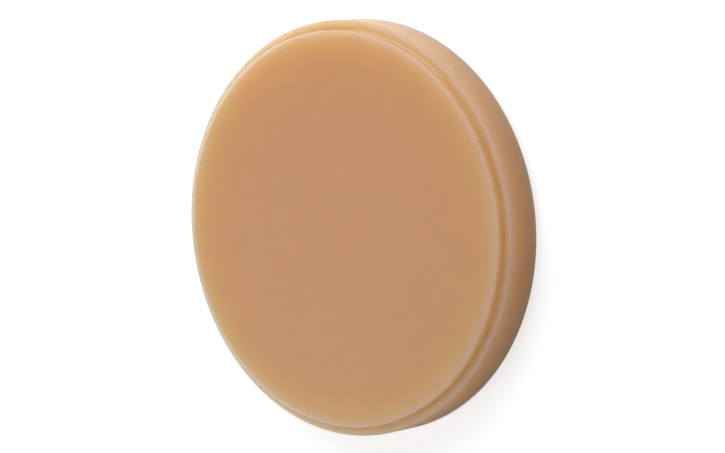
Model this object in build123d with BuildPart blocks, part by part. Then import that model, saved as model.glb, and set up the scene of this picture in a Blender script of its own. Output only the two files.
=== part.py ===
from build123d import *

import os

# Dental milling disc, turned from one cast block of tooth-shade resin.
# It lies flat: the origin is the centre of the back face, +Z points out of the front face.
# All sizes are in millimetres.

# Sizes set by the holder of the milling machine, which clamps the rim on both shoulders
RIM_DIAMETER = 98.5
RIM_THICKNESS = 10.0
SHOULDER_WIDTH = 2.25

# Overall thickness, from face to face, by which the disc is ordered
DISC_THICKNESS = 14.0

# Chamfer on the rim, which lets the disc drop into its holder
RIM_CHAMFER = 0.4

# Rounds that the turning tool leaves on the edges of the faces and in the inner corners
FACE_EDGE_ROUND = 0.35
ROOT_RADIUS = 0.2

# Radii and heights that follow from the sizes above
rim_radius = RIM_DIAMETER / 2
boss_radius = rim_radius - SHOULDER_WIDTH
boss_height = (DISC_THICKNESS - RIM_THICKNESS) / 2
back_shoulder = boss_height
front_shoulder = boss_height + RIM_THICKNESS

# One half section is turned about the axis: the clamping rim with a boss on each side of it
with BuildPart() as milling_disc:
    with BuildSketch(Plane.XZ) as half_section:
        with BuildLine():
            Polyline(
                (0, 0),
                (boss_radius, 0),
                (boss_radius, back_shoulder),
                (rim_radius, back_shoulder),
                (rim_radius, front_shoulder),
                (boss_radius, front_shoulder),
                (boss_radius, DISC_THICKNESS),
                (0, DISC_THICKNESS),
                close=True,
            )
        make_face()

        # Outer edges of the clamping rim
        rim_corners = half_section.vertices().group_by(Axis.X)[-1]
        chamfer(rim_corners, length=RIM_CHAMFER)

        # Inner corners where each boss stands on its shoulder
        root_corners = half_section.vertices().group_by(Axis.X)[1].sort_by(Axis.Y)[1:-1]
        fillet(root_corners, radius=ROOT_RADIUS)

        # Edges of the back face and the front face
        boss_wall_ends = half_section.vertices().group_by(Axis.X)[1].sort_by(Axis.Y)
        fillet([boss_wall_ends[0], boss_wall_ends[-1]], radius=FACE_EDGE_ROUND)
    revolve(axis=Axis.Z)

milling_disc.part.label = "milling_disc"

os.makedirs("parts", exist_ok=True)
export_step(milling_disc.part, "parts/milling_disc.step")
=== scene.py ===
from math import cos, pi, radians, sin, tan

import bpy
import numpy as np
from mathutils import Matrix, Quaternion, Vector


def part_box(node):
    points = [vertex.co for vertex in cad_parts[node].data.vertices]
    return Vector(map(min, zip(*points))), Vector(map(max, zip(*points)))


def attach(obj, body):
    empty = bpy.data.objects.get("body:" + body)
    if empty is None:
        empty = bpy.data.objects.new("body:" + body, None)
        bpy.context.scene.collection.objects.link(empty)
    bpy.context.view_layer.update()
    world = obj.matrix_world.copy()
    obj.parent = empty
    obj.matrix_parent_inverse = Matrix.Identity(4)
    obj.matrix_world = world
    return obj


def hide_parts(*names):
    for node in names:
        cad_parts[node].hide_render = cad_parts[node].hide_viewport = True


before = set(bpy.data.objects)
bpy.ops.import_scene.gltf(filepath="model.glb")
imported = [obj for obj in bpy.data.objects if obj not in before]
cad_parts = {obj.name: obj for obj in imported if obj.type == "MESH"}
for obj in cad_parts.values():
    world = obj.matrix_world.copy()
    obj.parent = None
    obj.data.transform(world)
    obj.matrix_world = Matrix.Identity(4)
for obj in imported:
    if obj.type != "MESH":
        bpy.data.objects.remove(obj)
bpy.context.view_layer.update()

# The disc: one cast block of tooth-shade resin, turned on a lathe. A boss stands on each side of
# the thicker rim, which the milling machine clamps. The rim is chamfered, and the tool leaves small
# rounds on the faces' edges and at the foot of each boss. It lies loose, on its back face.
low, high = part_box("milling_disc")
DISC_THICKNESS = high.z - low.z
RIM_RADIUS = (high.x - low.x) / 2
RIM_THICKNESS = 0.010
SHOULDER_WIDTH = 0.00225
RIM_CHAMFER = 0.0004
CHAMFER_BREAK = 0.0004
FACE_EDGE_ROUND = 0.00035
ROOT_RADIUS = 0.0002
TURN_STEPS = 720

boss_radius = RIM_RADIUS - SHOULDER_WIDTH
front_shoulder = (DISC_THICKNESS + RIM_THICKNESS) / 2
back_shoulder = DISC_THICKNESS - front_shoulder


def straight(start, end, normal, steps):
    """A straight stretch of the section: each point is start * (1 - share) + end * share, where
    the share grows evenly from 0 to 1. All its points have the same normal."""
    share = np.linspace(0, 1, steps)[:, None]
    points = np.array(start) * (1 - share) + np.array(end) * share
    return np.hstack([points, np.tile(normal, (steps, 1))])


def corner(centre, radius, start, end, steps, hollow=False):
    """A round of the section: each point is centre + radius * (cos angle, sin angle). The normal
    points away from the centre, or towards it where the corner is hollow."""
    angle = np.linspace(start, end, steps)
    ray = np.stack([np.cos(angle), np.sin(angle)], axis=1)
    return np.hstack([np.array(centre) + radius * ray, -ray if hollow else ray])


def half_section():
    """The section from the middle of the front face to the middle of the rim wall, as rows of
    radius, height and the two parts of the normal. Each stretch starts where the last one ends.
    A chamfer's two ends are rounded too, which takes radius * tan(22.5 degrees) off each side."""
    face_end = boss_radius - FACE_EDGE_ROUND
    boss_wall_top = DISC_THICKNESS - FACE_EDGE_ROUND
    boss_wall_foot = front_shoulder + ROOT_RADIUS
    root_end = boss_radius + ROOT_RADIUS
    reach = CHAMFER_BREAK * tan(pi / 8)
    shoulder_end = RIM_RADIUS - RIM_CHAMFER - reach
    shoulder_break = (shoulder_end, front_shoulder - CHAMFER_BREAK)
    rim_wall_top = front_shoulder - RIM_CHAMFER - reach
    rim_break = (RIM_RADIUS - CHAMFER_BREAK, rim_wall_top)
    slant = reach * cos(pi / 4)
    slant_start = (RIM_RADIUS - RIM_CHAMFER + slant, front_shoulder - slant)
    slant_end = (RIM_RADIUS - slant, front_shoulder - RIM_CHAMFER + slant)
    up, out, slanting = (0, 1), (1, 0), (cos(pi / 4), sin(pi / 4))
    stretches = [
        straight((0, DISC_THICKNESS), (face_end, DISC_THICKNESS), up, steps=12),
        corner((face_end, boss_wall_top), FACE_EDGE_ROUND, pi / 2, 0, steps=10),
        straight((boss_radius, boss_wall_top), (boss_radius, boss_wall_foot), out, steps=4),
        corner((root_end, boss_wall_foot), ROOT_RADIUS, pi, 1.5 * pi, steps=8, hollow=True),
        straight((root_end, front_shoulder), (shoulder_end, front_shoulder), up, steps=5),
        corner(shoulder_break, CHAMFER_BREAK, pi / 2, pi / 4, steps=4),
        straight(slant_start, slant_end, slanting, steps=2),
        corner(rim_break, CHAMFER_BREAK, pi / 4, 0, steps=4),
        straight((RIM_RADIUS, rim_wall_top), (RIM_RADIUS, DISC_THICKNESS / 2), out, steps=6),
    ]
    return np.vstack([stretches[0]] + [stretch[1:] for stretch in stretches[1:]])


def swung(r, z):
    """Swings points of the section about the Z axis: at each angle t, a point is
    (r cos t, r sin t, z)."""
    turn = np.arange(TURN_STEPS) * 2 * pi / TURN_STEPS
    x, y, level = np.outer(r, np.cos(turn)), np.outer(r, np.sin(turn)), np.ones(TURN_STEPS)
    return np.stack([x, y, np.outer(z, level)], axis=2).reshape(-1, 3)


def turned_disc(name):
    """Turns the whole section, whose back half is the front half mirrored in height. Its two points
    on the axis are the poles, and a fan of triangles joins each to the nearest ring."""
    front = half_section()
    back = front[-2::-1] * (1, -1, 1, -1) + (0, DISC_THICKNESS, 0, 0)
    r, z, out, up = np.vstack([front, back])[1:-1].T
    poles = [(0, 0, DISC_THICKNESS), (0, 0, 0)]
    pole_normals = [(0, 0, 1), (0, 0, -1)]
    points = np.vstack([swung(r, z), poles]) + (0, 0, low.z)
    point_normals = np.vstack([swung(out, up), pole_normals])

    grid = np.arange(len(r) * TURN_STEPS).reshape(len(r), TURN_STEPS)
    onward = np.roll(grid, -1, axis=1)
    walls = np.stack([grid[:-1], grid[1:], onward[1:], onward[:-1]], axis=2).reshape(-1, 4)
    front_pole, back_pole = len(points) - 2, len(points) - 1
    front_fan = np.stack([np.full(TURN_STEPS, front_pole), grid[0], onward[0]], axis=1)
    back_fan = np.stack([np.full(TURN_STEPS, back_pole), onward[-1], grid[-1]], axis=1)

    mesh = bpy.data.meshes.new(name)
    mesh.from_pydata(points, [], walls.tolist() + front_fan.tolist() + back_fan.tolist())
    mesh.polygons.foreach_set("use_smooth", np.ones(len(mesh.polygons), bool))
    mesh.normals_split_custom_set_from_vertices(point_normals)
    mesh.validate()
    piece = bpy.data.objects.new(name, mesh)
    bpy.context.scene.collection.objects.link(piece)
    return piece


# The disc's resin: light sinks in for millimetres, red the deepest, so that it looks soft and its
# edges glow. Its colour is painted warmer and then paler towards the front's edges, a painted glow,
# and redder down the rim towards its back edge, painted light. The tool has left faint rings, and
# handling has left specks and scratches; a painted glint runs along the foot of the front boss.
RESIN_RED, RESIN_GREEN, RESIN_BLUE = 0.600, 0.300, 0.126
# Painted glow near the front edges: paler green and blue close to them, less blue further in
PAINTED_GLOW_GREEN, PAINTED_GLOW_BLUE, PAINTED_WARM_GLOW_BLUE = 0.046, 0.110, -0.022
GLOW_REACH_GREEN, GLOW_REACH_BLUE, WARM_GLOW_REACH = 0.0040, 0.0020, 0.0140
# Painted light: redder towards the back edge of the rim
PAINTED_BACK_LIGHT_RED, PAINTED_BACK_LIGHT_GREEN, PAINTED_BACK_LIGHT_REACH = 0.050, -0.012, 0.0060
CLOUD_SHADE, GRAIN_SHADE, RING_SHADE = 0.07, 0.04, 0.02
# The pale white of the scratches, also used for the painted glint at the boss's foot
SCRATCH_AND_GLINT_WHITE = (0.88, 0.76, 0.74, 1)
LIGHT_DEPTH = (0.042, 0.028, 0.017)
REFRACTION = 1.49
PLAIN_ROUGHNESS, RING_ROUGHNESS, CLOUD_ROUGHNESS, MARK_ROUGHNESS = 0.38, 0.12, 0.08, 0.40
DULLER, DULL_REACH = 0.40, 0.0008
RING_DEPTH, GRAIN_DEPTH = 0.00001, 0.3


class Pattern:
    """One output in a material's nodes, so that what changes over a surface is written as sums."""

    def __init__(self, tree, socket):
        self.tree = tree
        self.socket = socket

    def add(self, kind, settings, inputs, output=0):
        """Adds a node: its settings first, then the value or link of each named input."""
        node = self.tree.nodes.new(kind)
        for setting, value in settings.items():
            setattr(node, setting, value)
        for name, value in inputs.items():
            if isinstance(value, Pattern):
                self.tree.links.new(value.socket, node.inputs[name])
            else:
                node.inputs[name].default_value = value
        return Pattern(self.tree, node.outputs[output])

    def maths(self, operation, other=0.0):
        return self.add("ShaderNodeMath", {"operation": operation}, {0: self, 1: other})

    def __add__(self, other):
        return self.maths("ADD", other)

    def __sub__(self, other):
        return self.maths("SUBTRACT", other)

    def __rsub__(self, other):
        return self.add("ShaderNodeMath", {"operation": "SUBTRACT"}, {0: other, 1: self})

    def __mul__(self, other):
        return self.maths("MULTIPLY", other)

    __radd__ = __add__
    __rmul__ = __mul__


disc = turned_disc("turned_disc")
resin = bpy.data.materials.new("tooth_shade_resin")
resin.use_nodes = True
tree = resin.node_tree
shader = tree.nodes["Principled BSDF"]
shader.inputs["IOR"].default_value = REFRACTION
shader.inputs["Subsurface Weight"].default_value = 1.0
shader.inputs["Subsurface Radius"].default_value = LIGHT_DEPTH
shader.inputs["Subsurface Scale"].default_value = 1.0
shader.subsurface_method = "RANDOM_WALK"

place = Pattern(tree, tree.nodes.new("ShaderNodeTexCoord").outputs["Object"])
x, y, z = [place.add("ShaderNodeSeparateXYZ", {}, {0: place}, axis) for axis in range(3)]
from_axis = (x * x + y * y).maths("SQRT")
height = z - low.z


def squared_distance(edge_radius, edge_height):
    """The square of the distance to the edge or corner that goes round at this radius and height:
    (distance from the axis - radius) squared + (height - edge height) squared."""
    across = from_axis - edge_radius
    along = height - edge_height
    return across * across + along * along


def near(distance, reach):
    """Falls from 1 as exp(-squared distance / squared reach)."""
    return (distance * (-1 / reach**2)).maths("EXPONENT")


def noise(scale, detail, along=None):
    """Soft noise around 0 in all directions, or in rings where it is given a distance to follow."""
    if along is None:
        settings, inputs = {}, {"Vector": place}
    else:
        settings, inputs = {"noise_dimensions": "1D"}, {"W": along}
    inputs |= {"Scale": scale, "Detail": detail}
    return place.add("ShaderNodeTexNoise", settings, inputs) - 0.5


# Marks are placed in millimetres
MM_PER_METRE = 1000


def on_face(x, y):
    """A place on the front face."""
    return x, y, DISC_THICKNESS * MM_PER_METRE


def on_rim(angle, height):
    """A place on the rim wall, by its angle in degrees and its height."""
    turn, radius = radians(angle), RIM_RADIUS * MM_PER_METRE
    return radius * cos(turn), radius * sin(turn), height


def mark(strength, start, end, width):
    """A mark along the line from start to end: its strength in the middle, falling smoothly to 0 on
    an egg shape of this width round the line."""
    start, end = Vector(start) / MM_PER_METRE, Vector(end) / MM_PER_METRE
    half_width = width / (2 * MM_PER_METRE)
    turn = (end - start).to_track_quat("X", "Z").to_euler()
    size = ((end - start).length / 2 + half_width, half_width, half_width)
    inputs = {"Vector": place, "Location": (start + end) / 2, "Rotation": turn, "Scale": size}
    shape = place.add("ShaderNodeMapping", {"vector_type": "TEXTURE"}, inputs)
    away = place.add("ShaderNodeVectorMath", {"operation": "LENGTH"}, {0: shape}, 1)
    fade = {"Value": away, "To Min": strength, "To Max": 0.0}
    return place.add("ShaderNodeMapRange", {"interpolation_type": "SMOOTHSTEP"}, fade)


# Pale specks and a scratch on the face, then the strokes of a scratch like a tick on the rim wall
scratches_and_painted_glint = (
    mark(0.085, on_face(5.10, 15.45), on_face(5.25, 15.60), 1.0)
    + mark(0.060, on_face(11.75, 12.30), on_face(11.85, 12.50), 0.8)
    + mark(0.050, on_face(15.50, 21.75), on_face(15.60, 21.85), 0.8)
    + mark(0.060, on_face(-6.45, -40.20), on_face(-6.25, -40.05), 0.8)
    + mark(0.060, on_face(-39.70, -5.80), on_face(-39.55, -5.70), 0.8)
    + mark(0.080, on_face(6.50, -41.30), on_face(7.30, -40.45), 0.5)
    + mark(0.400, on_rim(312.05, 10.45), on_rim(313.05, 8.75), 0.8)
    + mark(0.300, on_rim(313.05, 8.75), on_rim(313.50, 7.80), 0.7)
    + mark(0.140, on_rim(313.40, 7.70), on_rim(312.80, 7.90), 0.7)
    + mark(0.080, on_rim(311.60, 10.10), on_rim(309.00, 10.00), 0.6)
)

# Dark specks on the face, then a nick in its edge and a dot low on the boss wall
dark_marks = (
    mark(0.050, on_face(-7.00, -14.90), on_face(-6.85, -14.80), 0.8)
    + mark(0.050, on_face(-30.95, 10.25), on_face(-30.90, 10.40), 0.9)
    + mark(0.040, on_face(-33.70, 5.95), on_face(-33.55, 6.05), 0.8)
    + mark(0.040, on_face(17.95, -0.70), on_face(18.05, -0.60), 0.8)
    + mark(0.350, on_face(21.55, 41.20), on_face(20.40, 40.65), 0.6)
    + mark(0.300, (-7.35, -46.45, 12.2), (-7.25, -46.47, 12.3), 0.7)
)

# A painted glint: the foot of the boss is painted pale along an arc, which fades out to both sides
GLINT_MIDDLE, GLINT_HALF_ARC = radians(328), radians(21)
GLINT_STRENGTH, GLINT_REACH = 0.40, 0.0003
along_arc = x * (cos(GLINT_MIDDLE) / boss_radius) + y * (sin(GLINT_MIDDLE) / boss_radius)
arc = {"Value": along_arc, "From Min": cos(GLINT_HALF_ARC), "From Max": cos(GLINT_HALF_ARC / 2)}
painted_glint = place.add("ShaderNodeMapRange", {"interpolation_type": "SMOOTHSTEP"}, arc)
foot = near(squared_distance(boss_radius, front_shoulder), GLINT_REACH)
scratches_and_painted_glint = scratches_and_painted_glint + painted_glint * foot * GLINT_STRENGTH

# The rings follow the distance outwards on a face and the height on a wall
rings = noise(2500, 3.0, along=from_axis + height)
clouds = noise(260, 3.0)
grain = noise(1800, 2.0)

# Colour: a painted glow pales and warms the resin near both front edges, and painted light reddens
# it near the back edge of the rim
boss_edge = squared_distance(boss_radius, DISC_THICKNESS)
rim_edge = squared_distance(RIM_RADIUS, front_shoulder)
to_front_edge = boss_edge.maths("MINIMUM", rim_edge)
# Painted light: redder near the back edge of the rim
painted_back_light = near(squared_distance(RIM_RADIUS, back_shoulder), PAINTED_BACK_LIGHT_REACH)
# Painted glow: paler, then warmer, towards the front edges
painted_glow_green = near(to_front_edge, GLOW_REACH_GREEN) * PAINTED_GLOW_GREEN
painted_glow_blue = near(to_front_edge, GLOW_REACH_BLUE) * PAINTED_GLOW_BLUE
painted_warm_glow_blue = near(to_front_edge, WARM_GLOW_REACH) * PAINTED_WARM_GLOW_BLUE
red = RESIN_RED + painted_back_light * PAINTED_BACK_LIGHT_RED
green = RESIN_GREEN + (painted_glow_green + painted_back_light * PAINTED_BACK_LIGHT_GREEN)
blue = RESIN_BLUE + painted_glow_blue + painted_warm_glow_blue
shade = clouds * CLOUD_SHADE + grain * GRAIN_SHADE + rings * RING_SHADE + (1 - dark_marks)
channels = {"Red": shade * red, "Green": shade * green, "Blue": shade * blue}
colour = place.add("ShaderNodeCombineColor", {}, channels)
# The scratches and the painted glint mix in a pale white
marked = {0: scratches_and_painted_glint, 6: colour, 7: SCRATCH_AND_GLINT_WHITE}
colour = place.add("ShaderNodeMix", {"data_type": "RGBA"}, marked, 2)
tree.links.new(colour.socket, shader.inputs["Base Color"])

# Finish: satin, duller at the front edges and in the scratches and the painted glint, which are cut
# in
duller = near(to_front_edge, DULL_REACH) * DULLER + scratches_and_painted_glint * MARK_ROUGHNESS
roughness = PLAIN_ROUGHNESS + rings * RING_ROUGHNESS + clouds * CLOUD_ROUGHNESS + duller
depth = rings + grain * GRAIN_DEPTH - scratches_and_painted_glint
relief = {"Strength": 1.0, "Distance": RING_DEPTH, "Height": depth}
normal = place.add("ShaderNodeBump", {}, relief)
tree.links.new(roughness.socket, shader.inputs["Roughness"])
tree.links.new(normal.socket, shader.inputs["Normal"])
disc.data.materials.append(resin)
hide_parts("milling_disc")
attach(disc, "root")

# The floor: a plain pale sheet under the disc. The eye sees it white, apart from the disc's shadow.
# In reflections it glows white too, with a painted glow that is brighter on the side of the key
# light.
FLOOR_SIZE = 6.0
FLOOR_GAP = 0.00002
FLOOR_PLAIN = 0.50
FLOOR_GLOW = 0.70
DIM_PAINTED_GLOW, BRIGHT_PAINTED_GLOW = 0.2, 2.0
PAINTED_GLOW_FADE = 0.06
WHITE = (1, 1, 1, 1)


def ray_kind(tree, kind):
    """1 for what a ray of this kind sees, 0 for what any other ray sees."""
    return Pattern(tree, tree.nodes.new("ShaderNodeLightPath").outputs[f"Is {kind} Ray"])


def reflected(tree):
    """1 for what a mirror-like reflection or a clear body shows."""
    return ray_kind(tree, "Glossy").maths("MAXIMUM", ray_kind(tree, "Transmission"))


bpy.ops.mesh.primitive_plane_add(size=FLOOR_SIZE, location=(0, 0, low.z - FLOOR_GAP))
floor = bpy.context.object
floor.name = "floor"
floor_finish = bpy.data.materials.new("pale_floor")
floor_finish.use_nodes = True
tree = floor_finish.node_tree
shader = tree.nodes["Principled BSDF"]
shader.inputs["Base Color"].default_value = (FLOOR_PLAIN, FLOOR_PLAIN, FLOOR_PLAIN, 1)
shader.inputs["Roughness"].default_value = 1.0
shader.inputs["Specular IOR Level"].default_value = 0.0
shader.inputs["Emission Color"].default_value = WHITE
place = Pattern(tree, tree.nodes.new("ShaderNodeTexCoord").outputs["Object"])
towards_key = place.add("ShaderNodeSeparateXYZ", {}, {0: place}, 0)
# Painted glow: reflections see the floor brighter towards the key light, darker away from it
fade = {"Value": towards_key, "From Min": -PAINTED_GLOW_FADE, "From Max": PAINTED_GLOW_FADE}
fade |= {"To Min": DIM_PAINTED_GLOW, "To Max": BRIGHT_PAINTED_GLOW}
painted_paper_glow = place.add("ShaderNodeMapRange", {"interpolation_type": "SMOOTHSTEP"}, fade)
glow = (ray_kind(tree, "Camera") + reflected(tree) * painted_paper_glow) * FLOOR_GLOW
tree.links.new(glow.socket, shader.inputs["Emission Strength"])
floor.data.materials.append(floor_finish)

# The room: pale walls all round, which send an even, weak light onto the disc. The eye and the
# reflections see them as plain white.
ROOM_LIGHT = 0.07
world = bpy.data.worlds.new("room")
bpy.context.scene.world = world
world.use_nodes = True
tree = world.node_tree
seen_directly = ray_kind(tree, "Camera").maths("MAXIMUM", reflected(tree))
strength = ROOM_LIGHT + seen_directly * (1 - ROOM_LIGHT)
tree.nodes["Background"].inputs["Color"].default_value = WHITE
tree.links.new(strength.socket, tree.nodes["Background"].inputs["Strength"])


# The lamps: a large soft box over the side that is the top of the picture, and two weaker ones over
# its left and lower right. What falls on the walls and edges from there makes them glow.
def soft_box(name, azimuth, elevation, distance, width, height, watts):
    """A soft box that faces the disc. Its azimuth is counted from +X towards +Y, in degrees."""
    turn, rise = radians(azimuth), radians(elevation)
    towards = Vector((cos(rise) * cos(turn), cos(rise) * sin(turn), sin(rise)))
    box = bpy.data.lights.new(name, "AREA")
    box.shape = "RECTANGLE"
    box.size = width
    box.size_y = height
    box.energy = watts
    lamp = bpy.data.objects.new(name, box)
    lamp.location = towards * distance
    lamp.rotation_mode = "QUATERNION"
    lamp.rotation_quaternion = (-towards).to_track_quat("-Z", "Y")
    lamp.visible_camera = False
    bpy.context.scene.collection.objects.link(lamp)


soft_box("key_light", azimuth=-8, elevation=38, distance=0.8, width=0.9, height=0.85, watts=7.9)
soft_box("left_light", azimuth=120, elevation=30, distance=0.8, width=0.5, height=0.4, watts=2.3)
soft_box("right_light", azimuth=212, elevation=30, distance=0.8, width=0.5, height=0.3, watts=1.5)

# The camera: it looks down on the lying disc and is rolled on its side, so that the face fills the
# picture and the rim shows along its right.
LENS = 146.5
SENSOR_WIDTH = 36.0
CAMERA_PLACE = Vector((0.0, -0.44997, 0.54377))
AIM = Vector((-0.000010, -0.00585, 0.012))
CAMERA_ROLL = Quaternion((0, 0, 1), radians(-97.77))
view_direction = AIM - CAMERA_PLACE
camera_data = bpy.data.cameras.new("camera")
camera_data.lens = LENS
camera_data.sensor_width = SENSOR_WIDTH
camera = bpy.data.objects.new("camera", camera_data)
camera.location = CAMERA_PLACE
camera.rotation_mode = "QUATERNION"
camera.rotation_quaternion = view_direction.to_track_quat("-Z", "Y") @ CAMERA_ROLL
bpy.context.scene.collection.objects.link(camera)
bpy.context.scene.camera = camera
bpy.context.scene.view_settings.view_transform = "Standard"
